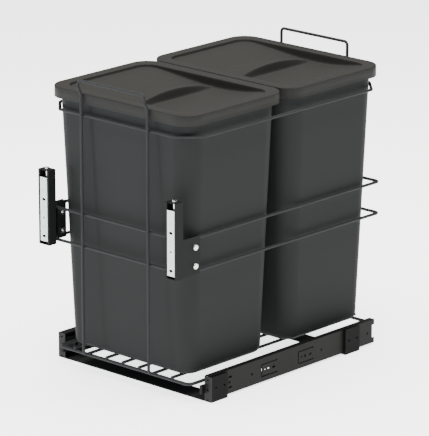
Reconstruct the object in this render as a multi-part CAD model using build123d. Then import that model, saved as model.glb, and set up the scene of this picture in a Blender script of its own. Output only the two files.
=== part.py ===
from build123d import *
import os

# Pull-out frame for two lidded waste bins. Ball-bearing slides on two cross plates carry a welded
# wire basket, and two brackets at the front of the basket take the cabinet door.
#
# X = 0 is the middle, Z = 0 is the floor under the cross plates, +Z is up and the door side faces
# -Y. The pieces are drawn with Y = 0 at the front of the slides' end plates. They are written with
# the origin under the middle of the whole object. All sizes are in millimetres.

# --- Slides: three members and two ball cages on each side ---
SLIDE_LENGTH = 450.0
SLIDE_HEIGHT = 45.0
SLIDE_THICKNESS = 12.7
SLIDE_SPREAD = 347.2            # between the inboard faces of the two slides
SLIDE_LIFT = 3.3                # underside of the slides above the floor
OUTER_SHEET = 1.2
MIDDLE_SHEET = 1.4
INNER_SHEET = 1.4
LIP_INSET = 0.6                 # the outer member's lips stop this far from the inboard face
WEB_GAP = 1.4                   # between the webs of the outer and the middle member
MIDDLE_LIP_INSET = 1.5
INNER_FLANGE = 7.5              # how far the inner member reaches into the slide
END_GAP = 0.3                   # between moving and fixed ends
OVERSHOOT = 1.0                 # how far a cutting shape runs past the face that it cuts
MEMBER_SETBACK = 3.0            # the middle member's ends behind the outer member's ends
BALL = 3.0
RACE = 0.35                     # how deep a ball sits in each race
BALL_PLAY = 0.05
OUTER_BALL_U = 6.6              # from the inboard face to the balls' middle
INNER_BALL_U = 4.4
BALL_PITCH = 20.0
CAGE_SHEET = 0.6
CAGE_POCKET_PLAY = 0.2
OUTER_CAGE_LENGTH = 218.0
CAGE_DIFFERENCE = 20.0          # how much shorter the inner cage is
CAGE_MIDDLE_Y = 224.0           # middle of both cages when the slide is closed
CAGE_MARGIN = 9.0               # from a cage's end to its first ball
CAGE_TOE_U = 2.4                # where the cages' flanges begin

# --- Cut-outs in the slides, heights above the slide's lower edge ---
FIXING_LINE = 21.5
TAB_FRONT_Y = 138.4             # first punched tab
TAB_PITCH = 99.0
TAB_LENGTH = 40.0
TAB_HEIGHT = 22.5
TAB_SLIT = 2.0
TAB_SLIT_END = 3.0              # round end of the long slits
TAB_HOLE_Y = 18.2               # from the tab's front edge to its screw hole
TAB_HOLE = 5.0
TAB_PILOT_Y = 9.0
TAB_PILOT = 3.4
TAB_SLOT_Y = 32.0
TAB_SLOT = (8.5, 4.0)
FRONT_SLOT_Y = 54.5
FRONT_SLOT = (9.5, 3.2)
FRONT_SLOT_RISE = 9.7           # the two front slots above and below the fixing line
FRONT_HOLE_Y = 52.6
WEB_HOLE = 4.4
WEB_HOLE_Y = (112.4, 301.0)
TAIL_HOLE_INSET = 19.8          # from the slide's rear end
TAIL_NOTCH = (7.0, 25.0)
MIDDLE_ACCESS_Y = 153.0         # openings that let a screwdriver reach the first tab
INNER_ACCESS_Y = 162.0
ACCESS_SLOT = (32.0, 9.0)
CAGE_ACCESS_SLOT = (64.0, 18.0)
MIDDLE_ACCESS_DROP = 1.3
INNER_ACCESS_DROP = 3.0
INNER_HOLE_Y = 28.0
INNER_HOLE = 7.0

# --- Fixed blocks and cross plates ---
BLOCK_THICKNESS = 5.1
PLATE_SHEET = 1.5
FRONT_PLATE_DEPTH = 42.5
FRONT_BLOCK_TOP = 47.3
REAR_PLATE_INSET = 87.1         # from the slide's rear end to the plate's front edge
REAR_PLATE_DEPTH = 39.6
REAR_BLOCK_TOP = 48.8
BLOCK_SCREW = 4.2
BLOCK_SCREW_PITCH = 22.0
FRONT_SCREW_Y = 12.1
REAR_SCREW_INSET = 10.5         # from the rear plate's front edge
BLOCK_SCREW_Z = 26.0

# --- End plates and carriers on the moving members ---
END_PLATE_SHEET = 1.5
END_PLATE_WIDTH = 16.8
END_HOLE = 3.8
END_HOLE_PITCH = 18.6
END_HOLE_LOW_Z = 3.3
END_HOLE_INSET = 8.9            # from the end plate's outboard edge
CARRIER_SHEET = 1.5
CARRIER_LOW_Z = 14.2
CARRIER_HEIGHT = 17.0
CARRIER_FRONT_Y = -8.7
CARRIER_REAR_INSET = 10.0       # from the slide's rear end
CARRIER_TAB_WIDTH = 5.7
CARRIER_LUG_Y = (45.0, 225.0)
CARRIER_LUG_INSET = 25.0        # of the last lug, from the carrier's rear end
CARRIER_LUG_WIDTH = 16.0
RIVET_Y = (75.0, 262.0, 380.0)
RIVET = 3.2
RIVET_HEAD = 6.4
RIVET_HEAD_HEIGHT = 1.0
RIVET_TAIL = 5.1
RIVET_PLAY = 0.1

# --- Welded wire basket ---
ROD = 5.5
RIM_ROD = 6.0
WELD_BITE = 0.5                 # how far two welded wires sink into each other
RIM_Z = 33.7
RIM_HALF_WIDTH = 162.0
RIM_FRONT_Y = -26.0
RIM_REAR_Y = 463.0
RIM_CORNER = 11.0
WIRE_PITCH = 40.6
WIRE_FRONT_Y = -28.5
WIRE_REAR_Y = 470.0
RING_FRONT_Y = -40.4
TOP_RING_Z = 486.7
TOP_RING_CHAMFER = 38.0
TOP_RING_BEND = 9.0
UPPER_RING_Z = 302.9
LOWER_RING_Z = 242.6
MID_RING_HALF_WIDTH = 165.6
MID_RING_BEND = 8.0
LOOP_HALF_WIDTH = 81.2
LOOP_TOP_Z = 552.6
LOOP_FOOT_BEND = 9.0
LOOP_TOP_BEND = 7.0
KINK_LOW_DROP = 27.3            # of the legs' bends, below the loop's top
KINK_HIGH_DROP = 12.1
KINK_FORWARD = 7.5
KINK_BEND = 6.0

# --- Door brackets ---
DOOR_FACE_Y = -67.0
CHANNEL_WIDTH = 25.8
CHANNEL_DEPTH = 18.0
CHANNEL_LOW_Z = 236.9
CHANNEL_HEIGHT = 140.0
BRACKET_SHEET = 1.5
LIP_WIDTH = 4.0
SIDE_PLATE_REAR_Y = -6.5
SIDE_PLATE_LOW_Z = 238.7
SIDE_PLATE_HEIGHT = 69.0
DOOR_PLATE_LOW_Z = 243.3
DOOR_PLATE_HEIGHT = 119.3
DOOR_PLATE_SHEET = 1.2          # left in front of the groove in the plate's back
DOOR_GROOVE_WIDTH = 13.0
DOOR_GROOVE_END = 3.0           # from the plate's lower end to the groove
DOOR_PLATE_BACK = 2.5
SLIDING_GAP = 0.3
DOOR_SLOT = (8.2, 4.8)
DOOR_PITCH = 17.2               # along the row of slots, pressed rings and one hole
DOOR_FEATURE_LOW_Z = 253.1
DOOR_PILOT = 4.0
DOOR_RING = (8.0, 5.8)
DOOR_RING_DEPTH = 0.5
SCREW = 4.8
SCREW_HEAD = 8.4
SCREW_HEAD_HEIGHT = 2.8
SCREW_BEHIND_FACE = 9.6
SCREW_LENGTH = 34.0
SCREW_PLAY = 0.05
SCREW_SLOT_WIDTH = 1.0
SCREW_SLOT_DEPTH = 1.4
LUG_WIDTH = 12.0
LUG_HEIGHT = 12.0
CLAMP_SHEET = 2.0
CLAMP_DEPTH = 22.0
CLAMP_BITE = 0.1
BOLT = 5.8
BOLT_HOLE = 6.2
BOLT_Y = -17.7
BOLT_LOW_Z = 253.4
BOLT_PITCH = 34.4
BOLT_HEAD = 11.2
BOLT_HEAD_HEIGHT = 2.4
BOLT_CROWN = 1.8                # rounding of the bolt's head
NUT_SIZE = 10.0
NUT_HEIGHT = 4.0
NUT_PLAY = 0.05
BOLT_PROUD = 2.0

# --- Bins and lids ---
MID_RING_PLAY = 5.0             # between the bins' sides and the upper middle ring
TOP_RING_PLAY = 9.95            # between the bins' sides and the top ring
TOP_RING_FRONT_PLAY = 5.64      # between the front bin and the top ring
TOP_RING_REAR_PLAY = 4.64       # between the rear bin and the top ring
BIN_FLOOR_HALF_DEPTH = 103.7
BIN_TAPER = 0.0389              # growth of each side per millimetre of height
BIN_FLOOR_CORNER = 28.0
BIN_TOP_CORNER = 40.0
BIN_WALL = 2.5
BIN_FLOOR_FILLET = 11.0
BIN_RIM_HEIGHT = 13.0
BIN_RIM_SHEET = 2.5
LID_TOP_Z = 527.0
LID_SIDE_OVERHANG = 8.0         # how far the lid stands out past the bin's sides at the top
LID_END_OVERHANG = 8.0
LID_GAP = 4.0                   # between the two lids
LID_CORNER = 38.0
LID_SKIRT = 20.0
LID_SHEET = 2.5
LID_EDGE_FILLET = 2.0
LID_RIM_PLAY = 1.0
DISH_LEFT = 23.0                # from the lid's left edge to the dish
DISH_RIGHT = 17.5
DISH_VALLEY_X = 22.9
DISH_LEFT_DEPTH = 3.0
DISH_DEPTH = 13.0
DISH_FRONT = 21.5
DISH_REAR = 24.0
DISH_CORNER = 28.0
ARCH_CREST_X = 12.0
ARCH_TOE_X = -50.0
ARCH_TOE_DEPTH = 9.5

# --- Places that follow from the sizes above ---
slide_in = SLIDE_SPREAD / 2
slide_out = slide_in + SLIDE_THICKNESS
slide_mid_z = SLIDE_LIFT + SLIDE_HEIGHT / 2
fixing_z = SLIDE_LIFT + FIXING_LINE
fixed_front_y = END_PLATE_SHEET + END_GAP
outer_face_z = SLIDE_HEIGHT / 2 - OUTER_SHEET
outer_ball_z = outer_face_z + RACE - BALL / 2
middle_top_z = outer_ball_z - BALL / 2 + RACE
inner_ball_z = middle_top_z - MIDDLE_SHEET + RACE - BALL / 2
inner_top_z = inner_ball_z - BALL / 2 + RACE
middle_web_u = SLIDE_THICKNESS - OUTER_SHEET - WEB_GAP
block_out = slide_out + BLOCK_THICKNESS
rear_plate_y = SLIDE_LENGTH - REAR_PLATE_INSET
rear_screw_y = rear_plate_y + REAR_SCREW_INSET
carrier_rear_y = SLIDE_LENGTH - CARRIER_REAR_INSET
carrier_in = slide_in - CARRIER_SHEET
wire_z = RIM_Z + (RIM_ROD + ROD) / 2 - WELD_BITE
bin_low_z = wire_z + ROD / 2
bin_top_z = LID_TOP_Z - LID_SHEET
mid_ring_growth = BIN_TAPER * (UPPER_RING_Z - bin_low_z)
top_ring_growth = BIN_TAPER * (TOP_RING_Z - bin_low_z)
bin_growth = BIN_TAPER * (bin_top_z - bin_low_z)
bin_floor_half_width = MID_RING_HALF_WIDTH - ROD / 2 - MID_RING_PLAY - mid_ring_growth
top_ring_half_width = bin_floor_half_width + top_ring_growth + TOP_RING_PLAY + ROD / 2
lid_half_width = bin_floor_half_width + bin_growth + LID_SIDE_OVERHANG
lid_half_depth = BIN_FLOOR_HALF_DEPTH + bin_growth + LID_END_OVERHANG
bin_ring_half_depth = BIN_FLOOR_HALF_DEPTH + top_ring_growth
front_bin_y = RING_FRONT_Y + ROD / 2 + TOP_RING_FRONT_PLAY + bin_ring_half_depth
rear_bin_y = front_bin_y + 2 * lid_half_depth + LID_GAP
ring_rear_y = rear_bin_y + bin_ring_half_depth + TOP_RING_REAR_PLAY + ROD / 2
loop_offset = ROD - WELD_BITE
front_loop_y = RING_FRONT_Y - loop_offset
rear_loop_y = ring_rear_y + loop_offset
loop_joint_y = (front_loop_y + rear_loop_y) / 2
bracket_in = MID_RING_HALF_WIDTH + ROD / 2
bracket_out = bracket_in + BRACKET_SHEET
channel_in = bracket_out - CHANNEL_WIDTH
channel_rear_y = DOOR_FACE_Y + CHANNEL_DEPTH
channel_top_z = CHANNEL_LOW_Z + CHANNEL_HEIGHT
channel_mid_x = (channel_in + bracket_out) / 2
screw_y = DOOR_FACE_Y + SCREW_BEHIND_FACE
clamp_out = MID_RING_HALF_WIDTH - ROD / 2 + CLAMP_BITE
clamp_in = clamp_out - CLAMP_SHEET
middle_y = (DOOR_FACE_Y + rear_loop_y + ROD / 2) / 2

os.makedirs("parts", exist_ok=True)


def box(x0, x1, y0, y1, z0, z1):
    """A block between two limits on each axis."""
    middle = ((x0 + x1) / 2, (y0 + y1) / 2, (z0 + z1) / 2)
    return Pos(*middle) * Box(abs(x1 - x0), abs(y1 - y0), abs(z1 - z0))


def pin_x(dia, x0, x1, y, z):
    """A round pin along X."""
    return Pos((x0 + x1) / 2, y, z) * Rot(0, 90, 0) * Cylinder(dia / 2, abs(x1 - x0))


def pin_y(dia, x, y0, y1, z):
    """A round pin along Y."""
    return Pos(x, (y0 + y1) / 2, z) * Rot(90, 0, 0) * Cylinder(dia / 2, abs(y1 - y0))


def slot_x(size, x0, x1, y, z):
    """A round-ended slot along Y, cut through in X."""
    length, width = size
    bar = box(x0, x1, y - (length - width) / 2, y + (length - width) / 2, z - width / 2, z + width / 2)
    ends = [pin_x(width, x0, x1, y + side * (length - width) / 2, z) for side in (-1, 1)]
    return bar + ends[0] + ends[1]


def rod(points, dia, bends, closed=False):
    """A round wire along straight runs with a bend at each corner."""
    path = FilletPolyline(*points, radius=bends, close=closed)
    return sweep(Plane(origin=path @ 0, z_dir=path % 0) * Circle(dia / 2), path=path)


def write(name, *solids):
    """One node: its solids in the object's own frame."""
    placed = [Pos(0, -middle_y, 0) * solid for solid in solids]
    node = placed[0] if len(placed) == 1 else Compound(children=placed)
    node.label = name
    export_step(node, f"parts/{name}.step")


def write_pair(name, *solids):
    """The same solids on the right side and, mirrored, on the left."""
    write(f"{name}_right", *solids)
    write(f"{name}_left", *(solid.mirror(Plane.YZ) for solid in solids))


def write_both_sides(name, *solids):
    """Identical small pieces of both sides in one node."""
    write(name, *solids, *(solid.mirror(Plane.YZ) for solid in solids))


# --- Slides ---
def channel(u0, u1, web_u0, web_u1, top, sheet, y0, y1):
    """A C section: a web between web_u0 and web_u1, and a flange from u0 to u1 above and below."""
    x0, x1 = slide_in + u0, slide_in + u1
    web = box(slide_in + web_u0, slide_in + web_u1, y0, y1, slide_mid_z - top, slide_mid_z + top)
    upper = box(x0, x1, y0, y1, slide_mid_z + top - sheet, slide_mid_z + top)
    lower = box(x0, x1, y0, y1, slide_mid_z - top, slide_mid_z - top + sheet)
    return web + upper + lower


def races(u, ball_z, y0, y1):
    """The grooves that the two rows of balls run in."""
    dia = BALL + 2 * BALL_PLAY
    start, end = y0 - OVERSHOOT, y1 + OVERSHOOT
    upper = pin_y(dia, slide_in + u, start, end, slide_mid_z + ball_z)
    return upper + pin_y(dia, slide_in + u, start, end, slide_mid_z - ball_z)


def punched_tab(y):
    """The slits that free a screw tab, with its hole, pilot hole and slot."""
    x0, x1 = slide_in + middle_web_u, slide_out + OVERSHOOT
    low, high = fixing_z - TAB_HEIGHT / 2, fixing_z + TAB_HEIGHT / 2
    cut = box(x0, x1, y - TAB_SLIT / 2, y + TAB_SLIT / 2, low, high)
    for z in (low, high):
        cut += box(x0, x1, y, y + TAB_LENGTH, z - TAB_SLIT / 2, z + TAB_SLIT / 2)
        cut += pin_x(TAB_SLIT_END, x0, x1, y + TAB_LENGTH, z)
    cut += pin_x(TAB_HOLE, x0, x1, y + TAB_HOLE_Y, fixing_z)
    cut += pin_x(TAB_PILOT, x0, x1, y + TAB_PILOT_Y, fixing_z)
    return cut + slot_x(TAB_SLOT, x0, x1, y + TAB_SLOT_Y, fixing_z)


def outer_member():
    y0, y1 = fixed_front_y, SLIDE_LENGTH
    web_u0, web_u1 = SLIDE_THICKNESS - OUTER_SHEET, SLIDE_THICKNESS
    member = channel(LIP_INSET, web_u1, web_u0, web_u1, SLIDE_HEIGHT / 2, OUTER_SHEET, y0, y1)
    member -= races(OUTER_BALL_U, outer_ball_z, y0, y1)
    x0, x1 = slide_in + middle_web_u, slide_out + OVERSHOOT
    for tab in range(2):
        member -= punched_tab(TAB_FRONT_Y + tab * TAB_PITCH)
    for rise in (-FRONT_SLOT_RISE, FRONT_SLOT_RISE):
        member -= slot_x(FRONT_SLOT, x0, x1, FRONT_SLOT_Y, fixing_z + rise)
    for y in (FRONT_HOLE_Y, *WEB_HOLE_Y, SLIDE_LENGTH - TAIL_HOLE_INSET):
        member -= pin_x(WEB_HOLE, x0, x1, y, fixing_z)
    for first in (FRONT_SCREW_Y, rear_screw_y):
        for y in (first, first + BLOCK_SCREW_PITCH):
            member -= pin_x(BLOCK_SCREW, x0, x1, y, BLOCK_SCREW_Z)
    notch_depth, notch_height = TAIL_NOTCH
    notch_z0, notch_z1 = slide_mid_z - notch_height / 2, slide_mid_z + notch_height / 2
    return member - box(x0, x1, y1 - notch_depth, y1 + OVERSHOOT, notch_z0, notch_z1)


def middle_member():
    y0, y1 = fixed_front_y + MEMBER_SETBACK, SLIDE_LENGTH - MEMBER_SETBACK
    web_u0, web_u1 = middle_web_u - MIDDLE_SHEET, middle_web_u
    member = channel(MIDDLE_LIP_INSET, web_u1, web_u0, web_u1, middle_top_z, MIDDLE_SHEET, y0, y1)
    member -= races(OUTER_BALL_U, outer_ball_z, y0, y1)
    member -= races(INNER_BALL_U, inner_ball_z, y0, y1)
    x0, x1 = slide_in + web_u0 - OVERSHOOT, slide_in + web_u1 + OVERSHOOT
    return member - slot_x(ACCESS_SLOT, x0, x1, MIDDLE_ACCESS_Y, fixing_z - MIDDLE_ACCESS_DROP)


def inner_member():
    y0, y1 = END_PLATE_SHEET, SLIDE_LENGTH - MEMBER_SETBACK
    member = channel(0, INNER_FLANGE, 0, INNER_SHEET, inner_top_z, INNER_SHEET, y0, y1)
    member -= races(INNER_BALL_U, inner_ball_z, y0, y1)
    return member - inboard_holes(slide_in - OVERSHOOT, slide_in + INNER_SHEET + OVERSHOOT)


def inboard_holes(x0, x1):
    """The openings that the inner member and the carrier on it share."""
    cut = slot_x(ACCESS_SLOT, x0, x1, INNER_ACCESS_Y, fixing_z - INNER_ACCESS_DROP)
    cut += pin_x(INNER_HOLE, x0, x1, INNER_HOLE_Y, fixing_z - INNER_ACCESS_DROP)
    for y in RIVET_Y:
        cut += pin_x(RIVET + 2 * RIVET_PLAY, x0, x1, y, fixing_z - INNER_ACCESS_DROP)
    return cut


def ball_places(length):
    """The balls' places along a cage, the end ones at the cage's margins."""
    span = length - 2 * CAGE_MARGIN
    gaps = round(span / BALL_PITCH)
    return [CAGE_MIDDLE_Y - span / 2 + place * span / gaps for place in range(gaps + 1)]


def cage(length, web_u0, ball_u, ball_z):
    """A thin U strip that keeps both rows of balls at their spacing."""
    y0, y1 = CAGE_MIDDLE_Y - length / 2, CAGE_MIDDLE_Y + length / 2
    web_u1 = web_u0 + CAGE_SHEET
    strip = channel(CAGE_TOE_U, web_u1, web_u0, web_u1, ball_z + CAGE_SHEET / 2, CAGE_SHEET, y0, y1)
    for y in ball_places(length):
        pocket = Cylinder(BALL / 2 + CAGE_POCKET_PLAY, 2 * ball_z + 2 * BALL)
        strip -= Pos(slide_in + ball_u, y, slide_mid_z) * pocket
    x0, x1 = slide_in + web_u0 - OVERSHOOT, slide_in + web_u1 + OVERSHOOT
    return strip - slot_x(CAGE_ACCESS_SLOT, x0, x1, INNER_ACCESS_Y, fixing_z - INNER_ACCESS_DROP)


def balls(length, ball_u, ball_z):
    places = [(y, side) for y in ball_places(length) for side in (-1, 1)]
    x = slide_in + ball_u
    return [Pos(x, y, slide_mid_z + side * ball_z) * Sphere(BALL / 2) for y, side in places]


outer_cage_u = middle_web_u + (WEB_GAP - CAGE_SHEET) / 2
inner_cage_u = (INNER_FLANGE + middle_web_u - MIDDLE_SHEET - CAGE_SHEET) / 2
inner_cage_length = OUTER_CAGE_LENGTH - CAGE_DIFFERENCE
write_pair("outer_member", outer_member())
write_pair("middle_member", middle_member())
write_pair("inner_member", inner_member())
write_pair("outer_ball_cage", cage(OUTER_CAGE_LENGTH, outer_cage_u, OUTER_BALL_U, outer_ball_z))
write_pair("inner_ball_cage", cage(inner_cage_length, inner_cage_u, INNER_BALL_U, inner_ball_z))
write_pair("outer_balls", *balls(OUTER_CAGE_LENGTH, OUTER_BALL_U, outer_ball_z))
write_pair("inner_balls", *balls(inner_cage_length, INNER_BALL_U, inner_ball_z))


# --- Fixed blocks and cross plates ---
def block(y0, y1, top, first_screw_y):
    """A spacer between the slide and the cabinet's side wall, with two screw holes."""
    piece = box(slide_out, block_out, y0, y1, PLATE_SHEET, top)
    for y in (first_screw_y, first_screw_y + BLOCK_SCREW_PITCH):
        piece -= pin_x(BLOCK_SCREW, slide_out - OVERSHOOT, block_out + OVERSHOOT, y, BLOCK_SCREW_Z)
    return piece


rear_plate_end = rear_plate_y + REAR_PLATE_DEPTH
front_plate = box(-block_out, block_out, 0, FRONT_PLATE_DEPTH, 0, PLATE_SHEET)
for side in (-1, 1):
    notch_x0, notch_x1 = side * (slide_in - END_GAP), side * (block_out + OVERSHOOT)
    front_plate -= box(notch_x0, notch_x1, -OVERSHOOT, fixed_front_y, -OVERSHOOT, PLATE_SHEET + OVERSHOOT)
write("front_cross_plate", front_plate)
write("rear_cross_plate", box(-block_out, block_out, rear_plate_y, rear_plate_end, 0, PLATE_SHEET))
write_pair("front_block", block(fixed_front_y, FRONT_PLATE_DEPTH, FRONT_BLOCK_TOP, FRONT_SCREW_Y))
write_pair("rear_block", block(rear_plate_y, rear_plate_end, REAR_BLOCK_TOP, rear_screw_y))


# --- End plates and carriers ---
def end_plate():
    """The plate across the slide's mouth, on the end of the inner member."""
    plate = box(block_out - END_PLATE_WIDTH, block_out, 0, END_PLATE_SHEET, 0, FRONT_BLOCK_TOP)
    for step in range(3):
        z = END_HOLE_LOW_Z + step * END_HOLE_PITCH
        plate -= pin_y(END_HOLE, block_out - END_HOLE_INSET, -OVERSHOOT, END_PLATE_SHEET + OVERSHOOT, z)
    return plate


def carrier():
    """A flat strip on the inner member, with a bent front tab and lugs under the basket's rim."""
    low, high = CARRIER_LOW_Z, CARRIER_LOW_Z + CARRIER_HEIGHT
    strip = box(carrier_in, slide_in, CARRIER_FRONT_Y, carrier_rear_y, low, high)
    strip -= inboard_holes(carrier_in - OVERSHOOT, slide_in + OVERSHOOT)
    tab_x = slide_in - CARRIER_TAB_WIDTH / 2
    tab_y = CARRIER_FRONT_Y + CARRIER_SHEET
    strip += box(tab_x, tab_x + CARRIER_TAB_WIDTH, CARRIER_FRONT_Y, tab_y, low, high)
    lug_top = RIM_Z - RIM_ROD / 2 + SLIDING_GAP
    for y in (*CARRIER_LUG_Y, carrier_rear_y - CARRIER_LUG_INSET):
        lug_y0, lug_y1 = y - CARRIER_LUG_WIDTH / 2, y + CARRIER_LUG_WIDTH / 2
        lug_in = RIM_HALF_WIDTH - RIM_ROD / 2
        strip += box(lug_in, slide_in, lug_y0, lug_y1, lug_top - CARRIER_SHEET, lug_top)
    return strip


def rivets():
    """Rivets that hold a carrier on its inner member."""
    z = fixing_z - INNER_ACCESS_DROP
    inside = slide_in + INNER_SHEET
    solids = []
    for y in RIVET_Y:
        shank = pin_x(RIVET, carrier_in, inside, y, z)
        head = pin_x(RIVET_HEAD, carrier_in - RIVET_HEAD_HEIGHT, carrier_in, y, z)
        tail = pin_x(RIVET_TAIL, inside, inside + RIVET_HEAD_HEIGHT, y, z)
        solids.append((shank + head + tail).solid())
    return solids


write_pair("end_plate", end_plate())
write_pair("carrier", carrier())
write_both_sides("carrier_rivets", *rivets())


# --- Wire basket ---
def ring(half_width, z, chamfer, bend):
    """A closed wire around both bins. A chamfer cuts its corners at 45 degrees."""
    w, y0, y1, c = half_width, RING_FRONT_Y, ring_rear_y, chamfer
    corners = [(w, y0), (w, y1), (-w, y1), (-w, y0)]
    if c:
        corners = [
            (w - c, y0), (w, y0 + c), (w, y1 - c), (w - c, y1),
            (c - w, y1), (-w, y1 - c), (-w, y0 + c), (c - w, y0),
        ]
    return rod([(x, y, z) for x, y in corners], ROD, bend, closed=True)


def loop(y, kink):
    """A handle loop whose legs bend in under the bins and meet the other loop's legs."""
    side, shift = LOOP_HALF_WIDTH, -kink
    half = [(loop_joint_y, wire_z), (y, wire_z)]
    if kink:
        half += [(y, LOOP_TOP_Z - KINK_LOW_DROP), (y + shift, LOOP_TOP_Z - KINK_HIGH_DROP)]
    half += [(y + shift, LOOP_TOP_Z)]
    points = [(-side, *place) for place in half] + [(side, *place) for place in reversed(half)]
    bends = [LOOP_FOOT_BEND] + ([KINK_BEND] * 2 if kink else []) + [LOOP_TOP_BEND]
    return rod(points, ROD, bends + bends[::-1])


def rim():
    w, y0, y1 = RIM_HALF_WIDTH, RIM_FRONT_Y, RIM_REAR_Y
    corners = [(w, y0), (w, y1), (-w, y1), (-w, y0)]
    return rod([(x, y, RIM_Z) for x, y in corners], RIM_ROD, RIM_CORNER, closed=True)


WIRE_NAMES = {-3: "far_left", -1: "left", 0: "middle", 1: "right", 3: "far_right"}
write("basket_rim", rim())
for step, place in WIRE_NAMES.items():
    write(f"floor_wire_{place}", pin_y(ROD, step * WIRE_PITCH, WIRE_FRONT_Y, WIRE_REAR_Y, wire_z))
write("front_loop", loop(front_loop_y, KINK_FORWARD))
write("rear_loop", loop(rear_loop_y, 0))
write("top_ring", ring(top_ring_half_width, TOP_RING_Z, TOP_RING_CHAMFER, TOP_RING_BEND))
write("upper_middle_ring", ring(MID_RING_HALF_WIDTH, UPPER_RING_Z, 0, MID_RING_BEND))
write("lower_middle_ring", ring(MID_RING_HALF_WIDTH, LOWER_RING_Z, 0, MID_RING_BEND))


# --- Door brackets ---
def door_bracket():
    """A lipped channel that guides the door plate, and a side plate that clamps on two rings."""
    t, y0, y1 = BRACKET_SHEET, DOOR_FACE_Y, channel_rear_y
    low, high = CHANNEL_LOW_Z, channel_top_z
    piece = box(bracket_in, bracket_out, y0, y1, low, high)
    piece += box(channel_in, channel_in + t, y0, y1, low, high)
    piece += box(channel_in, bracket_out, y1 - t, y1, low, high)
    piece += box(channel_in, channel_in + LIP_WIDTH, y0, y0 + t, low, high)
    piece += box(bracket_out - LIP_WIDTH, bracket_out, y0, y0 + t, low, high)
    piece += box(channel_in, bracket_out, y0, y1, low, low + t)
    piece += box(channel_in, bracket_out, y0 + t, y1, high - t, high)
    side_top = SIDE_PLATE_LOW_Z + SIDE_PLATE_HEIGHT
    piece += box(bracket_in, bracket_out, y1 - t, SIDE_PLATE_REAR_Y, SIDE_PLATE_LOW_Z, side_top)
    for z in bolt_heights():
        piece -= pin_x(BOLT_HOLE, bracket_in - OVERSHOOT, bracket_out + OVERSHOOT, BOLT_Y, z)
    screw_hole = Cylinder(SCREW / 2 + SLIDING_GAP, 3 * t)
    return piece - Pos(channel_mid_x, screw_y, high) * screw_hole


def bolt_heights():
    return (BOLT_LOW_Z, BOLT_LOW_Z + BOLT_PITCH)


def door_plate():
    """The plate that the door screws to. It slides up in the channel as its screw is turned."""
    low, high = DOOR_PLATE_LOW_Z, DOOR_PLATE_LOW_Z + DOOR_PLATE_HEIGHT
    lip_in, lip_out = channel_in + LIP_WIDTH + SLIDING_GAP, bracket_out - LIP_WIDTH - SLIDING_GAP
    wall_in, wall_out = channel_in + BRACKET_SHEET + SLIDING_GAP, bracket_in - SLIDING_GAP
    back_y0 = DOOR_FACE_Y + BRACKET_SHEET + SLIDING_GAP
    back_y1 = back_y0 + DOOR_PLATE_BACK
    cut_y0, cut_y1 = DOOR_FACE_Y - OVERSHOOT, back_y1 + OVERSHOOT
    plate = box(lip_in, lip_out, DOOR_FACE_Y, back_y0, low, high)
    plate += box(wall_in, wall_out, back_y0, back_y1, low, high)
    groove_x0, groove_x1 = channel_mid_x - DOOR_GROOVE_WIDTH / 2, channel_mid_x + DOOR_GROOVE_WIDTH / 2
    groove_y0, groove_z1 = DOOR_FACE_Y + DOOR_PLATE_SHEET, high - LUG_HEIGHT
    plate -= box(groove_x0, groove_x1, groove_y0, cut_y1, low + DOOR_GROOVE_END, groove_z1)
    for step in range(6):
        z = DOOR_FEATURE_LOW_Z + step * DOOR_PITCH
        if step in (0, 4):
            plate -= door_slot(cut_y0, cut_y1, z)
        elif step == 2:
            plate -= pin_y(DOOR_PILOT, channel_mid_x, cut_y0, cut_y1, z)
        else:
            plate -= pressed_ring(z)
    lug_x0, lug_x1 = channel_mid_x - LUG_WIDTH / 2, channel_mid_x + LUG_WIDTH / 2
    lug = box(lug_x0, lug_x1, back_y1, screw_y + LUG_WIDTH / 2, high - LUG_HEIGHT, high)
    lug -= Pos(channel_mid_x, screw_y, high) * Cylinder(SCREW / 2 + SCREW_PLAY, 3 * LUG_HEIGHT)
    return plate + lug


def door_slot(y0, y1, z):
    """A level slot through the door plate."""
    width, height = DOOR_SLOT
    half = (width - height) / 2
    cut = box(channel_mid_x - half, channel_mid_x + half, y0, y1, z - height / 2, z + height / 2)
    for side in (-half, half):
        cut += pin_y(height, channel_mid_x + side, y0, y1, z)
    return cut


def pressed_ring(z):
    """A ring pressed into the door plate's face, its middle left standing."""
    outer, inner = DOOR_RING
    y0, y1 = DOOR_FACE_Y - OVERSHOOT, DOOR_FACE_Y + DOOR_RING_DEPTH
    return pin_y(outer, channel_mid_x, y0, y1, z) - pin_y(inner, channel_mid_x, y0, y1 + OVERSHOOT, z)


def adjusting_screw():
    """The upright screw whose head shows on top of the channel."""
    head_top = channel_top_z + SCREW_HEAD_HEIGHT
    head = Cylinder(SCREW_HEAD / 2, SCREW_HEAD_HEIGHT)
    screw = Pos(channel_mid_x, screw_y, head_top - SCREW_HEAD_HEIGHT / 2) * head
    shank = Cylinder(SCREW / 2, SCREW_LENGTH)
    screw += Pos(channel_mid_x, screw_y, channel_top_z - SCREW_LENGTH / 2) * shank
    slot = Box(SCREW_HEAD + OVERSHOOT, SCREW_SLOT_WIDTH, 2 * SCREW_SLOT_DEPTH)
    return screw - Pos(channel_mid_x, screw_y, head_top) * slot


def clamp_plate():
    """The plate inside the basket that grips the two middle rings."""
    top = SIDE_PLATE_LOW_Z + SIDE_PLATE_HEIGHT
    y0, y1 = BOLT_Y - CLAMP_DEPTH / 2, BOLT_Y + CLAMP_DEPTH / 2
    plate = box(clamp_in, clamp_out, y0, y1, SIDE_PLATE_LOW_Z, top)
    for z in bolt_heights():
        plate -= pin_x(BOLT_HOLE, clamp_in - OVERSHOOT, clamp_out + OVERSHOOT, BOLT_Y, z)
    return plate


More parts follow.
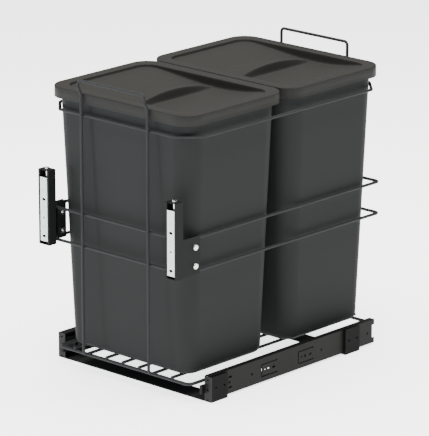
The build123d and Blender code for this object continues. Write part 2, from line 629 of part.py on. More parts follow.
def bolts():
    solids = []
    tip = clamp_in - NUT_HEIGHT - BOLT_PROUD
    for z in bolt_heights():
        head = pin_x(BOLT_HEAD, bracket_out, bracket_out + BOLT_HEAD_HEIGHT, BOLT_Y, z)
        crown = head.edges().sort_by(Axis.X)[-1]
        head = fillet(crown, BOLT_CROWN)
        solids.append((head + pin_x(BOLT, tip, bracket_out, BOLT_Y, z)).solid())
    return solids


def nuts():
    solids = []
    half = NUT_SIZE / 2
    for z in bolt_heights():
        nut_x0 = clamp_in - NUT_HEIGHT
        nut = box(nut_x0, clamp_in, BOLT_Y - half, BOLT_Y + half, z - half, z + half)
        hole = pin_x(BOLT + 2 * NUT_PLAY, nut_x0 - OVERSHOOT, clamp_in + OVERSHOOT, BOLT_Y, z)
        solids.append((nut - hole).solid())
    return solids


write_pair("door_bracket", door_bracket())
write_pair("door_plate", door_plate())
write_pair("clamp_plate", clamp_plate())
write_both_sides("adjusting_screws", adjusting_screw())
write_both_sides("bracket_bolts", *bolts())
write_both_sides("bracket_nuts", *nuts())


# --- Bins ---
def bin_section(z, inset):
    """The bin's plan at height z, drawn in by inset."""
    rise = z - bin_low_z
    share = rise / (bin_top_z - bin_low_z)
    corner = BIN_FLOOR_CORNER + share * (BIN_TOP_CORNER - BIN_FLOOR_CORNER) - inset
    half_width = bin_floor_half_width + BIN_TAPER * rise - inset
    half_depth = BIN_FLOOR_HALF_DEPTH + BIN_TAPER * rise - inset
    return Pos(0, 0, z) * RectangleRounded(2 * half_width, 2 * half_depth, corner)


def bin_body():
    """A tapered tub with a folded rim that the lid sits on."""
    shell = loft([bin_section(bin_low_z, 0), bin_section(bin_top_z, 0)])
    shell = fillet(shell.faces().sort_by(Axis.Z)[0].edges(), BIN_FLOOR_FILLET)
    rim_half_x = lid_half_width - LID_SHEET - LID_RIM_PLAY
    rim_half_y = lid_half_depth - LID_SHEET - LID_RIM_PLAY
    rim_corner = LID_CORNER - LID_SHEET - LID_RIM_PLAY
    rim_plan = RectangleRounded(2 * rim_half_x, 2 * rim_half_y, rim_corner)
    hollow_plan = RectangleRounded(
        2 * (rim_half_x - BIN_RIM_SHEET), 2 * (rim_half_y - BIN_RIM_SHEET), rim_corner - BIN_RIM_SHEET)
    rim_low = bin_top_z - BIN_RIM_HEIGHT
    rim_solid = Pos(0, 0, rim_low) * extrude(rim_plan, BIN_RIM_HEIGHT)
    rim_solid -= Pos(0, 0, rim_low) * extrude(hollow_plan, BIN_RIM_HEIGHT - BIN_RIM_SHEET)
    floor_z = bin_low_z + BIN_WALL
    hollow = loft([bin_section(floor_z, BIN_WALL), bin_section(bin_top_z + OVERSHOOT, BIN_WALL)])
    hollow = fillet(hollow.faces().sort_by(Axis.Z)[0].edges(), BIN_FLOOR_FILLET - BIN_WALL)
    return shell + rim_solid - hollow


# --- Lids ---
def dish(grow):
    """The hollow in the lid's top, its floor low along a valley and rising to the right edge."""
    left, right = DISH_LEFT - lid_half_width - grow, lid_half_width - DISH_RIGHT + grow
    top, above = LID_TOP_Z, LID_TOP_Z + OVERSHOOT
    low_left = (left, top - DISH_LEFT_DEPTH - grow)
    valley = (DISH_VALLEY_X, top - DISH_DEPTH - grow)
    low_right = (right, top - grow)
    outline = Spline(low_left, valley, tangents=((1, 0), (1, 0)))
    outline += Polyline(valley, low_right, (right, above), (left, above), low_left)
    y0, y1 = -lid_half_depth + DISH_FRONT - grow, lid_half_depth - DISH_REAR + grow
    prism = Pos(0, y0, 0) * extrude(Plane.XZ * make_face(outline), -(y1 - y0))
    plan = RectangleRounded(right - left, y1 - y0, DISH_CORNER + grow)
    column = extrude(plan, 3 * DISH_DEPTH)
    return prism & (Pos((left + right) / 2, (y0 + y1) / 2, top - 2 * DISH_DEPTH) * column)


def arch(inset):
    """The handle arch over the valley: a ridge whose crest meets the rim at mid length."""
    top = LID_TOP_Z - inset
    floor = LID_TOP_Z - DISH_DEPTH - 2 * LID_SHEET
    toe = (ARCH_TOE_X + inset, LID_TOP_Z - ARCH_TOE_DEPTH - inset)
    crest = (ARCH_CREST_X - inset, top)
    foot = (DISH_VALLEY_X - inset, LID_TOP_Z - DISH_DEPTH - inset)
    outline = Polyline(toe, crest, foot, (foot[0], floor), (toe[0], floor), toe)
    y0, y1 = -lid_half_depth + DISH_FRONT, lid_half_depth - DISH_REAR
    wedge = Pos(0, y0, 0) * extrude(Plane.XZ * make_face(outline), -(y1 - y0))
    chord, rise = y1 - y0, DISH_DEPTH
    radius = chord**2 / (8 * rise) + rise / 2
    span = ARCH_CREST_X - ARCH_TOE_X + 2 * DISH_VALLEY_X
    barrel = Pos((ARCH_CREST_X + ARCH_TOE_X) / 2, (y0 + y1) / 2, LID_TOP_Z - radius)
    return wedge & (barrel * Rot(0, 90, 0) * Cylinder(radius - inset, span))


def lid():
    """A lid with a deep skirt, one sheet thick everywhere."""
    low_z = LID_TOP_Z - LID_SKIRT
    outside_plan = RectangleRounded(2 * lid_half_width, 2 * lid_half_depth, LID_CORNER)
    outside = Pos(0, 0, low_z) * extrude(outside_plan, LID_SKIRT)
    outside = fillet(outside.faces().sort_by(Axis.Z)[-1].edges(), LID_EDGE_FILLET)
    inside_plan = RectangleRounded(
        2 * (lid_half_width - LID_SHEET), 2 * (lid_half_depth - LID_SHEET), LID_CORNER - LID_SHEET)
    inside = Pos(0, 0, low_z - OVERSHOOT) * extrude(inside_plan, LID_SKIRT + OVERSHOOT - LID_SHEET)
    inside -= dish(LID_SHEET)
    return outside - inside - (dish(0) - arch(0)) - arch(LID_SHEET)


tub, cover = bin_body(), lid()
for name, y in (("front", front_bin_y), ("rear", rear_bin_y)):
    write(f"{name}_bin", Pos(0, y, 0) * tub)
    write(f"{name}_lid", Pos(0, y, 0) * cover)
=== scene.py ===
"""The finishes, moulded tubs and lids of a pull-out frame for two waste bins, and its studio."""

from math import copysign, cos, pi, radians, sin

import bmesh
import bpy
from mathutils import Matrix, Vector


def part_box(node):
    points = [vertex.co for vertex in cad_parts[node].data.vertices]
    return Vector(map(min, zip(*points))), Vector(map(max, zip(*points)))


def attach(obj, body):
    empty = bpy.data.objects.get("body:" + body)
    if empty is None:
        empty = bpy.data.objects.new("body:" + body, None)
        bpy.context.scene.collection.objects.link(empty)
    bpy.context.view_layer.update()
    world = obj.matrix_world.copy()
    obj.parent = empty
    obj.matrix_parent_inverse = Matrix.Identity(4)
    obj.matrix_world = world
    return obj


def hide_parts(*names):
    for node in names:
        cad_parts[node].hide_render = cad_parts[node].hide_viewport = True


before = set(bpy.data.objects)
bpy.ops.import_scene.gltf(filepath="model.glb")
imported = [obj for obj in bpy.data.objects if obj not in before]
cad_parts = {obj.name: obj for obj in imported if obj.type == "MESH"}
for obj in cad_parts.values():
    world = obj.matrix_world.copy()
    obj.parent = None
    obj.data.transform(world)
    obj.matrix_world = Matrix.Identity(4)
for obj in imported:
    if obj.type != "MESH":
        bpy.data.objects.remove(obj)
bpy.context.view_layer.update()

# --- Camera ---
# A long lens from the front right, a little above the lids. Its place in metres, its angles in
# degrees and its length in millimetres were worked out from the slides, the wire loops and the
# lids in the photograph.
CAMERA_PLACE = (4.326927, -4.675557, 2.137947)
CAMERA_ELEVATION = 16.443
CAMERA_AZIMUTH = 42.762
CAMERA_LENS = 305.28
CAMERA_SENSOR = 36.0
CAMERA_REACH = 100.0

camera = bpy.data.objects.new("camera", bpy.data.cameras.new("camera"))
camera.data.lens = CAMERA_LENS
camera.data.sensor_width = CAMERA_SENSOR
camera.data.sensor_fit = "HORIZONTAL"
camera.data.clip_end = CAMERA_REACH
camera.location = CAMERA_PLACE
camera.rotation_euler = (radians(90 - CAMERA_ELEVATION), 0, radians(CAMERA_AZIMUTH))
bpy.context.collection.objects.link(camera)
bpy.context.scene.camera = camera


# --- Studio ---
# A white acrylic sweep lit from below, a large softbox overhead and two low cool ones at the
# front left and the front right. Most light on the tubs' sides comes up from the sweep, so each
# wire shades them a little above its own height.
def linear(code):
    """An sRGB hex colour as the linear RGBA that a shader takes, by the sRGB curve."""
    colour = []
    for start in (1, 3, 5):
        share = int(code[start:start + 2], 16) / 255
        colour.append(share / 12.92 if share <= 0.04045 else ((share + 0.055) / 1.055) ** 2.4)
    return colour + [1.0]


def add_node(material, kind, settings, inputs):
    """Adds a shader node. An input is a value or another node's output socket."""
    tree = material.node_tree
    made = tree.nodes.new(kind)
    for name, value in settings.items():
        setattr(made, name, value)
    for name, value in inputs.items():
        if isinstance(value, bpy.types.NodeSocket):
            tree.links.new(value, made.inputs[name])
        else:
            made.inputs[name].default_value = value
    return made


FLOOR_HALF = 14.0
FLOOR_COLOUR = "#ebebea"
FLOOR_ROUGHNESS = 0.9
FLOOR_GLOW = 2.6
FLOOR_GLOW_COLOUR = "#fbfdff"

bm = bmesh.new()
bmesh.ops.create_grid(bm, x_segments=2, y_segments=2, size=FLOOR_HALF)
floor_mesh = bpy.data.meshes.new("studio_floor")
bm.to_mesh(floor_mesh)
bm.free()
floor = bpy.data.objects.new("studio_floor", floor_mesh)
bpy.context.collection.objects.link(floor)

# Frosted acrylic scatters all its light, so the sweep is an even pale ground without a highlight.
sweep = bpy.data.materials.new("white acrylic sweep")
sweep.use_nodes = True
acrylic = sweep.node_tree.nodes["Principled BSDF"]
acrylic.inputs["Base Color"].default_value = linear(FLOOR_COLOUR)
acrylic.inputs["Roughness"].default_value = FLOOR_ROUGHNESS
acrylic.inputs["Specular IOR Level"].default_value = 0.0
acrylic.inputs["Emission Color"].default_value = linear(FLOOR_GLOW_COLOUR)
acrylic.inputs["Emission Strength"].default_value = FLOOR_GLOW
floor_mesh.materials.append(sweep)

SOFTBOXES = {
    # name: place, what it points at, width and height, watts, colour
    "overhead": ((0.0, 0.0, 2.6), (0.0, 0.0, 0.5), (2.6, 2.6), 255.0, "#fffbf6"),
    "front_left": ((-1.35, -1.75, 0.25), (0.0, 0.0, 0.3), (0.4, 0.3), 20.0, "#eef6ff"),
    "front_right": ((1.4, -2.0, 0.35), (0.0, 0.0, 0.3), (1.4, 0.8), 18.0, "#f4f8ff"),
}
for name, (place, target, size, watts, colour) in SOFTBOXES.items():
    lamp = bpy.data.lights.new(name, "AREA")
    lamp.shape = "RECTANGLE"
    lamp.size, lamp.size_y = size
    lamp.energy = watts
    lamp.color = linear(colour)[:3]
    softbox = bpy.data.objects.new(name, lamp)
    softbox.location = place
    aim = Vector(target) - Vector(place)
    softbox.rotation_euler = aim.to_track_quat("-Z", "Y").to_euler()
    bpy.context.collection.objects.link(softbox)

AIR_COLOUR = "#f2f5f8"
AIR_GLOW = 0.4
world = bpy.data.worlds.new("studio_air")
world.use_nodes = True
air = world.node_tree.nodes["Background"]
air.inputs["Color"].default_value = linear(AIR_COLOUR)
air.inputs["Strength"].default_value = AIR_GLOW
bpy.context.scene.world = world

# --- Slides ---
# Telescopic channels of cold-rolled steel, zinc plated and passivated black. A carrier strip is
# riveted to each inner member, and the middle and inner members carry the balls' grease.
MM = 0.001
GRAIN_DETAIL = 3.0
GRAIN_ROUGHNESS = 0.55
CLOUDS_PER_METRE = 9.0          # soft patches about 110 mm across, as most coats have
CLOUD_DETAIL = 2.0
CLOUD_ROUGHNESS = 0.5
PATTERN_LOW = 0.6               # the range of the grain and the clouds added together
PATTERN_HIGH = 1.4
SHEEN_SWING = 0.04
RELIEF_STRENGTH = 0.35


def dress(node_name, finish):
    """Puts a finish on a piece of the frame."""
    for material_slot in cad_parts[node_name].material_slots:
        material_slot.material = finish


def satin(name, colour, roughness, gloss, grain_mm, tint, relief_mm, metallic=0.0,
          stretch=(1.0, 1.0, 1.0)):
    """A satin finish. Tint is how much the pattern shades it, and relief the grain's height."""
    finish = bpy.data.materials.new(name)
    finish.use_nodes = True
    surface = finish.node_tree.nodes["Principled BSDF"]
    surface.inputs["Metallic"].default_value = metallic
    surface.inputs["Specular IOR Level"].default_value = gloss
    place = add_node(finish, "ShaderNodeTexCoord", {}, {})
    spread = add_node(
        finish, "ShaderNodeMapping", {}, {"Vector": place.outputs["Object"], "Scale": stretch})
    grain = add_node(
        finish, "ShaderNodeTexNoise", {},
        {"Vector": spread.outputs["Vector"], "Scale": 1 / (grain_mm * MM),
         "Detail": GRAIN_DETAIL, "Roughness": GRAIN_ROUGHNESS})
    clouds = add_node(
        finish, "ShaderNodeTexNoise", {},
        {"Vector": place.outputs["Object"], "Scale": CLOUDS_PER_METRE,
         "Detail": CLOUD_DETAIL, "Roughness": CLOUD_ROUGHNESS})
    pattern = add_node(
        finish, "ShaderNodeMath", {"operation": "ADD"},
        {0: grain.outputs["Fac"], 1: clouds.outputs["Fac"]})
    shade = add_node(
        finish, "ShaderNodeMapRange", {},
        {"Value": pattern.outputs["Value"], "From Min": PATTERN_LOW, "From Max": PATTERN_HIGH,
         "To Min": 1 - tint, "To Max": 1 + tint})
    paint = add_node(
        finish, "ShaderNodeVectorMath", {"operation": "SCALE"},
        {0: linear(colour)[:3], "Scale": shade.outputs["Result"]})
    sheen = add_node(
        finish, "ShaderNodeMapRange", {},
        {"Value": pattern.outputs["Value"], "From Min": PATTERN_LOW, "From Max": PATTERN_HIGH,
         "To Min": roughness - SHEEN_SWING, "To Max": roughness + SHEEN_SWING})
    relief = add_node(
        finish, "ShaderNodeBump", {},
        {"Height": grain.outputs["Fac"], "Strength": RELIEF_STRENGTH, "Distance": relief_mm * MM})
    links = finish.node_tree.links
    links.new(paint.outputs["Vector"], surface.inputs["Base Color"])
    links.new(sheen.outputs["Result"], surface.inputs["Roughness"])
    links.new(relief.outputs["Normal"], surface.inputs["Normal"])
    return finish


# Black zinc on rolled steel: a dull black sheen with faint streaks along the slide. Real streaks
# are some tenths of a millimetre wide, too fine to show, so they are drawn 2 mm wide.
SLIDE_STREAKS = (1.0, 0.06, 1.0)
black_zinc = satin(
    "black zinc plated steel", "#131312", roughness=0.5, gloss=0.07,
    grain_mm=2.0, stretch=SLIDE_STREAKS, tint=0.07, relief_mm=0.02)
# The same under a film of grease, which leaves it almost without shine. Its colour is darker than
# the outer members' as painted shade for the inside of the slides, which shows through the slots.
greased_zinc_painted_shade = satin(
    "greased black zinc", "#060606", roughness=0.5, gloss=0.04,
    grain_mm=2.0, stretch=SLIDE_STREAKS, tint=0.07, relief_mm=0.02)

SIDES = ("left", "right")
for side in SIDES:
    for name in ("outer_member", "carrier"):
        dress(f"{name}_{side}", black_zinc)
    for name in ("middle_member", "inner_member"):
        dress(f"{name}_{side}", greased_zinc_painted_shade)

# --- Balls and cages ---
# Ground and polished balls of hardened steel, kept at their spacing by cages stamped from thin
# steel strip. They run in grease inside the slides, nearly hidden while the frame is shut.

# Polished steel mirrors the dark slide and shows small sharp glints. The polish's own marks are
# far too fine to show, so a faint grain of 0.5 mm stands for them.
ball_steel = satin(
    "polished bearing steel", "#c9cac8", roughness=0.12, gloss=0.5, metallic=1.0,
    grain_mm=0.5, tint=0.03, relief_mm=0.002)
# Grease makes bare steel strip a dark, dull metal. Its rolling streaks are drawn 1.5 mm wide,
# coarser than the real ones, so that they show.
cage_steel = satin(
    "greased steel strip", "#202121", roughness=0.5, gloss=0.5, metallic=1.0,
    grain_mm=1.5, stretch=(1.0, 0.08, 1.0), tint=0.06, relief_mm=0.01)
for side in SIDES:
    for name in ("outer", "inner"):
        dress(f"{name}_balls_{side}", ball_steel)
        dress(f"{name}_ball_cage_{side}", cage_steel)

# --- Blocks, end plates and cross plates ---
# Steel spacer blocks outside the slides and flat sheets under them, both powder coated, and
# stamped plates across the slides' mouths, zinc plated and passivated black.

# A matt powder coat that looks dark grey in full light. Its orange peel, about 1 mm across, only
# breaks up the light.
block_coat = satin(
    "dark grey powder coat", "#0d0d0d", roughness=0.55, gloss=0.04,
    grain_mm=1.1, tint=0.05, relief_mm=0.04)
# Plated like the slides, but stamped: no streaks, and a faint sheen on the plate's face. The
# plating's grain is drawn 1.5 mm across, coarser than the real one, so that it shows.
end_zinc = satin(
    "black zinc plated end plate", "#1b1b1a", roughness=0.45, gloss=0.1,
    grain_mm=1.5, tint=0.05, relief_mm=0.02)
# A matt coat with the same peel. Its colour is made lighter than the blocks' as painted light, to
# make up for the light the bins keep off it, so that in their shade it looks black.
plate_coat_painted_light = satin(
    "black powder coat", "#262626", roughness=0.6, gloss=0.08,
    grain_mm=1.1, tint=0.05, relief_mm=0.04)
for side in SIDES:
    dress(f"front_block_{side}", block_coat)
    dress(f"rear_block_{side}", block_coat)
    dress(f"end_plate_{side}", end_zinc)
for name in ("front_cross_plate", "rear_cross_plate"):
    dress(name, plate_coat_painted_light)

# --- Welded wire basket ---
# Drawn mild steel wire, bent into rings and loops, resistance welded where they cross, and powder
# coated dark grey as one piece.

# A silky powder coat with a fine peel, about 1 mm across. It lights up softly along a wire's top.
wire_coat = satin(
    "dark grey silk powder coat on wire", "#292a2b", roughness=0.5, gloss=0.03,
    grain_mm=0.9, tint=0.05, relief_mm=0.03)
WIRES = ["basket_rim", "front_loop", "rear_loop"]
WIRES += ["top_ring", "upper_middle_ring", "lower_middle_ring"]
WIRES += [f"floor_wire_{place}" for place in ("far_left", "left", "middle", "right", "far_right")]
for name in WIRES:
    dress(name, wire_coat)

# --- Door brackets and their screws ---
# Folded steel channels, powder coated black and bolted to clamp plates behind the middle rings. A
# slotted plate for the door's screws slides in each. It is light zinc, and the fasteners bright.

# A black silk powder coat: soft and dark, with an orange peel about 1 mm across.
bracket_coat = satin(
    "black silk powder coat", "#161717", roughness=0.55, gloss=0.05,
    grain_mm=1.1, tint=0.05, relief_mm=0.04)
# Bright zinc on turned and stamped steel: a clear metal shine, slightly clouded. The haze is drawn
# 1.2 mm across, coarser than the plating's real grain, so that it shows.
bright_zinc = satin(
    "bright zinc", "#c4c5c2", roughness=0.28, gloss=0.5, metallic=1.0,
    grain_mm=1.2, tint=0.05, relief_mm=0.01)
# Light satin zinc scatters nearly all its light, so it looks pale grey and hardly metallic. The
# sheet's upright rolling streaks are drawn 1.5 mm wide, coarser than real ones, so that they show.
light_plate = satin(
    "light satin zinc", "#c9cccc", roughness=0.5, gloss=0.2,
    grain_mm=1.5, stretch=(1.0, 1.0, 0.1), tint=0.03, relief_mm=0.01)
for side in SIDES:
    dress(f"door_bracket_{side}", bracket_coat)
    dress(f"clamp_plate_{side}", bracket_coat)
    dress(f"door_plate_{side}", light_plate)
for name in ("adjusting_screws", "bracket_bolts", "bracket_nuts", "carrier_rivets"):
    dress(name, bright_zinc)

# Only the door plates' faces keep the light plating. What shows through their slots lies in the
# bracket's deep shade, so all that is deeper than the face is painted black: painted shade.
FACE_DEPTH = 0.8
PAINTED_BACK_SHADE = 0.01
face_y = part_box("door_plate_left")[0].y + FACE_DEPTH * MM
surface = light_plate.node_tree.nodes["Principled BSDF"]
plating = surface.inputs["Base Color"].links[0].from_socket
spot = add_node(light_plate, "ShaderNodeTexCoord", {}, {})
axes = add_node(light_plate, "ShaderNodeSeparateXYZ", {}, {"Vector": spot.outputs["Object"]})
on_face = add_node(
    light_plate, "ShaderNodeMath", {"operation": "LESS_THAN"}, {0: axes.outputs["Y"], 1: face_y})
# Painted shade: behind the face, the plating's colour is cut to a hundredth of itself.
painted_slot_shade = add_node(
    light_plate, "ShaderNodeMapRange", {},
    {"Value": on_face.outputs["Value"], "To Min": PAINTED_BACK_SHADE, "To Max": 1.0})
plating_with_painted_shade = add_node(
    light_plate, "ShaderNodeVectorMath", {"operation": "SCALE"},
    {0: plating, "Scale": painted_slot_shade.outputs["Result"]})
light_plate.node_tree.links.new(plating_with_painted_shade.outputs["Vector"], surface.inputs["Base Color"])

# --- Tubs ---
# Dark grey polypropylene, injection moulded in one piece. The walls taper to the floor for the
# mould's draft, and the rim is folded outwards and down, so that the lid can hook over it.
TUB_WALL = 2.5
TUB_FLOOR_Z = 41.7
TUB_TOP_Z = 524.5
TUB_FLOOR_HALF = (147.7, 103.7)
TUB_TAPER = 0.0389
TUB_FLOOR_CORNER = 28.0
TUB_TOP_CORNER = 40.0
TUB_FLOOR_FILLET = 11.0
TUB_RIM_HALF = (171.0, 127.0)
TUB_RIM_CORNER = 34.5
TUB_RIM_HEIGHT = 13.0
WALL_SHARES = (0.1, 0.4, 0.7, 1.0)      # how far up the wall its loops lie
CORNER_STEPS = 16
FILLET_STEPS = 6


def corner_point(index, half_x, half_y, radius):
    """A point on a rounded rectangle that has all its points in the four corners."""
    corner, step = divmod(index, CORNER_STEPS + 1)
    turn = (corner + step / CORNER_STEPS) * pi / 2
    x = (half_x - radius if corner in (0, 3) else radius - half_x) + radius * cos(turn)
    y = (half_y - radius if corner in (0, 1) else radius - half_y) + radius * sin(turn)
    return x, y


def tub_loops():
    """Half width, half depth, corner and height of each loop, from the floor over the rim."""
    loops = []
    for step in range(FILLET_STEPS + 1):
        turn = step / FILLET_STEPS * pi / 2
        inset = TUB_FLOOR_FILLET * (1 - sin(turn))
        z = TUB_FLOOR_Z + TUB_FLOOR_FILLET * (1 - cos(turn))
        loops.append((inset, z))
    wall_height = TUB_TOP_Z - TUB_WALL - TUB_FLOOR_Z
    loops += [(0.0, TUB_FLOOR_Z + share * wall_height) for share in WALL_SHARES]
    outlines = []
    for inset, z in loops:
        rise = z - TUB_FLOOR_Z
        share = rise / (TUB_TOP_Z - TUB_FLOOR_Z)
        corner = TUB_FLOOR_CORNER + share * (TUB_TOP_CORNER - TUB_FLOOR_CORNER) - inset
        half_x, half_y = (half + TUB_TAPER * rise - inset for half in TUB_FLOOR_HALF)
        outlines.append((half_x, half_y, corner, z))
    half_x, half_y = (half - TUB_WALL for half in TUB_RIM_HALF)
    corner = TUB_RIM_CORNER - TUB_WALL
    outlines.append((half_x, half_y, corner, TUB_TOP_Z - TUB_WALL))
    outlines.append((half_x, half_y, corner, TUB_TOP_Z - TUB_RIM_HEIGHT))
    return outlines


def grow_edge(bm):
    """Extrudes the sheet's open edge in place and returns its new points."""
    edges = [edge for edge in bm.edges if edge.is_boundary]
    made = bmesh.ops.extrude_edge_only(bm, edges=edges)["geom"]
    return [item for item in made if isinstance(item, bmesh.types.BMVert)]


def finish_piece(name, bm, material):
    """Turns a bmesh into an object with smooth shading."""
    for face in bm.faces:
        face.smooth = True
    mesh = bpy.data.meshes.new(name)
    bm.to_mesh(mesh)
    bm.free()
    mesh.materials.append(material)
    piece = bpy.data.objects.new(name, mesh)
    bpy.context.collection.objects.link(piece)
    return piece


# Polypropylene from a spark-eroded mould: matt dark grey, with soft light across whole walls and no
# sharp reflection. The texture's real pits are about 0.2 mm across and are drawn at 0.8 mm to show.
tub_plastic = satin(
    "eroded dark grey polypropylene", "#252626", roughness=0.5, gloss=0.02,
    grain_mm=0.8, tint=0.03, relief_mm=0.03)
for place in ("front", "rear"):
    low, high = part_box(f"{place}_bin")
    middle_y = (low.y + high.y) / 2 / MM
    # Each point keeps its number, which places it on every loop.
    bm = bmesh.new()
    index_layer = bm.verts.layers.int.new("index")
    points = bmesh.ops.create_circle(
        bm, cap_ends=True, segments=4 * (CORNER_STEPS + 1), radius=1.0)["verts"]
    for index, vert in enumerate(points):
        vert[index_layer] = index
    for half_x, half_y, corner, z in tub_loops():
        for vert in points:
            x, y = corner_point(vert[index_layer], half_x, half_y, corner)
            vert.co = (x * MM, (y + middle_y) * MM, z * MM)
        points = grow_edge(bm)
    # The edge grown last has no loop to lie on.
    bmesh.ops.delete(bm, geom=points, context="VERTS")
    # The floor is the largest face, and its outer side looks down.
    bmesh.ops.recalc_face_normals(bm, faces=bm.faces)
    if max(bm.faces, key=lambda face: face.calc_area()).normal.z > 0:
        bmesh.ops.reverse_faces(bm, faces=bm.faces)
    tub = finish_piece(f"{place}_tub", bm, tub_plastic)
    wall = tub.modifiers.new("wall", "SOLIDIFY")
    wall.thickness = TUB_WALL * MM
    wall.offset = -1.0
    even = tub.modifiers.new("even", "WEIGHTED_NORMAL")
    even.keep_sharp = True
    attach(tub, f"{place}_bin")
    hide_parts(f"{place}_bin")

# --- Lids ---
# Moulded from the tubs' material. Each lid has a deep skirt and a flat rim round a hollow, whose
# floor falls from both ends to a valley, and an arch for the hand that rises along the valley.
LID_SHEET = 2.5
LID_HALF = (174.5, 130.5)
LID_CORNER = 38.0
LID_TOP_Z = 527.0
LID_SKIRT = 20.0
LID_EDGE = 2.0
DISH_LEFT = -151.5
DISH_RIGHT = 157.0
DISH_FRONT = -109.0
DISH_REAR = 106.5
DISH_CORNER = 28.0
DISH_DEPTH = 16.0
DISH_LEFT_DEPTH = 5.0
TOE_X = -55.0                   # where the arch begins to rise from the floor
CREST_X = 16.5                  # the arch's highest line
VALLEY_X = 22.9                 # the floor's lowest line, at the foot of the arch's steep side
CREST_BAND = 4.0                # strips beside crest and valley that take closer grid lines
VALLEY_BAND = 6.0
PATCH_INSET = 14.0              # from the hollow's outline to the grid that makes its floor
PATCH_COLUMNS = (24, 20, 4, 10, 4, 24)
PATCH_ROWS = 56
GRID_HALF = 0.5
# From the grid out to the rim: how far inside the hollow's outline each ring lies, and how far up
# the hollow's wall.
HOLLOW_RINGS = (
    (8.0, 0.0), (4.0, 0.0), (1.6, 0.02), (1.0, 0.1), (0.6, 0.45), (0.2, 0.85), (-0.2, 0.97),
    (-0.8, 1.0))


def ease(share):
    """A smooth step from 0 to 1."""
    share = min(max(share, 0), 1)
    return share * share * (3 - 2 * share)


def lid_depth(x, y):
    """How far the hollow lies under the rim, in millimetres."""
    if x < VALLEY_X:
        fall = ease((x - DISH_LEFT) / (VALLEY_X - DISH_LEFT))
        floor = DISH_LEFT_DEPTH + (DISH_DEPTH - DISH_LEFT_DEPTH) * fall
        share = ease((x - TOE_X) / (CREST_X - TOE_X))
    else:
        floor = DISH_DEPTH * (1 - ((x - VALLEY_X) / (DISH_RIGHT - VALLEY_X)) ** 2)
        share = 0
    if x > CREST_X:
        share = 1 - ease((x - CREST_X) / (VALLEY_X - CREST_X))
    # The arch's crest meets the rim at mid length and falls to the floor at the front and rear.
    middle, half = (DISH_FRONT + DISH_REAR) / 2, (DISH_REAR - DISH_FRONT) / 2
    crest = DISH_DEPTH * min(1, ((y - middle) / half) ** 2)
    return min(max(floor, 0), floor + (crest - floor) * share)


def patch_lines():
    """The floor grid's lines across the lid, close together on the arch's steep side."""
    stops = (
        DISH_LEFT + PATCH_INSET, TOE_X, CREST_X - CREST_BAND, CREST_X, VALLEY_X,
        VALLEY_X + VALLEY_BAND, DISH_RIGHT - PATCH_INSET)
    lines = [stops[0]]
    for start, end, count in zip(stops, stops[1:], PATCH_COLUMNS):
        lines += [start + (end - start) * (step + 1) / count for step in range(count)]
    return lines


def outline_point(side, share, half_x, half_y, radius):
    """A point on a rounded rectangle. Share runs from 0 to 1 on a side, between corner middles."""
    along, out = (half_x, half_y) if side % 2 == 0 else (half_y, half_x)
    straight = along - radius
    reach = straight + radius * pi / 4
    run = (2 * share - 1) * reach
    turn = max(abs(run) - straight, 0) / radius
    x = copysign(min(abs(run), straight) + radius * sin(turn), run)
    y = -(out - radius + radius * cos(turn))
    point = Matrix.Rotation(side * pi / 2, 2) @ Vector((x, y))
    return point.x, point.y


def lid_rings():
    """Middle, halves, corner, wall share and drop of each outline, from the hollow to the skirt."""
    middle = ((DISH_LEFT + DISH_RIGHT) / 2, (DISH_FRONT + DISH_REAR) / 2)
    halves = ((DISH_RIGHT - DISH_LEFT) / 2, (DISH_REAR - DISH_FRONT) / 2)
    rings = [
        (middle, (halves[0] - inset, halves[1] - inset), DISH_CORNER - inset, share, 0)
        for inset, share in HOLLOW_RINGS
    ]
    for step in range(FILLET_STEPS + 1):
        turn = step / FILLET_STEPS * pi / 2
        inset, drop = LID_EDGE * (1 - sin(turn)), LID_EDGE * (1 - cos(turn))
        halves = (LID_HALF[0] - inset, LID_HALF[1] - inset)
        rings.append(((0, 0), halves, LID_CORNER - inset, 1, drop))
    rings.append(((0, 0), LID_HALF, LID_CORNER, 1, LID_SKIRT))
    return rings


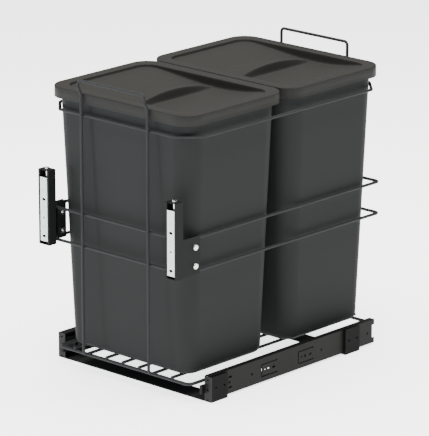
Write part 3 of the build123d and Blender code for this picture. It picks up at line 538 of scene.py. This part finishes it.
# The tubs' texture, a touch warmer and glossier, so the flat tops take the overhead light as an
# even soft grey and the hollow's steep walls stay dark.
lid_plastic = satin(
    "eroded dark grey polypropylene, lid", "#252524", roughness=0.5, gloss=0.03,
    grain_mm=0.8, tint=0.03, relief_mm=0.03)
for place in ("front", "rear"):
    low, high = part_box(f"{place}_lid")
    middle_y = (low.y + high.y) / 2 / MM
    lines = patch_lines()
    left, right = lines[0], lines[-1]
    front, rear = DISH_FRONT + PATCH_INSET, DISH_REAR - PATCH_INSET
    last_column = len(lines) - 1
    bm = bmesh.new()
    bmesh.ops.create_grid(bm, x_segments=last_column, y_segments=PATCH_ROWS, size=GRID_HALF)
    # Each point on the grid's edge keeps its side and its share of it, for the rings to follow.
    side_layer = bm.verts.layers.int.new("side")
    share_layer = bm.verts.layers.float.new("share")
    for vert in bm.verts:
        column = round((vert.co.x + GRID_HALF) * last_column)
        row = round((vert.co.y + GRID_HALF) * PATCH_ROWS)
        x, y = lines[column], front + (rear - front) * row / PATCH_ROWS
        x_share, y_share = (x - left) / (right - left), row / PATCH_ROWS
        if row == 0:
            vert[side_layer], vert[share_layer] = 0, x_share
        elif column == last_column:
            vert[side_layer], vert[share_layer] = 1, y_share
        elif row == PATCH_ROWS:
            vert[side_layer], vert[share_layer] = 2, 1 - x_share
        else:
            vert[side_layer], vert[share_layer] = 3, 1 - y_share
        vert.co = (x * MM, (y + middle_y) * MM, (LID_TOP_Z - lid_depth(x, y)) * MM)
    for (ring_x, ring_y), (half_x, half_y), corner, wall_share, drop in lid_rings():
        for vert in grow_edge(bm):
            x, y = outline_point(vert[side_layer], vert[share_layer], half_x, half_y, corner)
            x, y = x + ring_x, y + ring_y
            depth = lid_depth(x, y) * (1 - wall_share) + drop
            vert.co = (x * MM, (y + middle_y) * MM, (LID_TOP_Z - depth) * MM)
    # The outer side of a lid looks up.
    bmesh.ops.recalc_face_normals(bm, faces=bm.faces)
    if sum(face.normal.z * face.calc_area() for face in bm.faces) < 0:
        bmesh.ops.reverse_faces(bm, faces=bm.faces)
    cover = finish_piece(f"{place}_cover", bm, lid_plastic)
    sheet = cover.modifiers.new("sheet", "SOLIDIFY")
    sheet.thickness = LID_SHEET * MM
    sheet.offset = -1.0
    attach(cover, f"{place}_lid")
    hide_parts(f"{place}_lid")
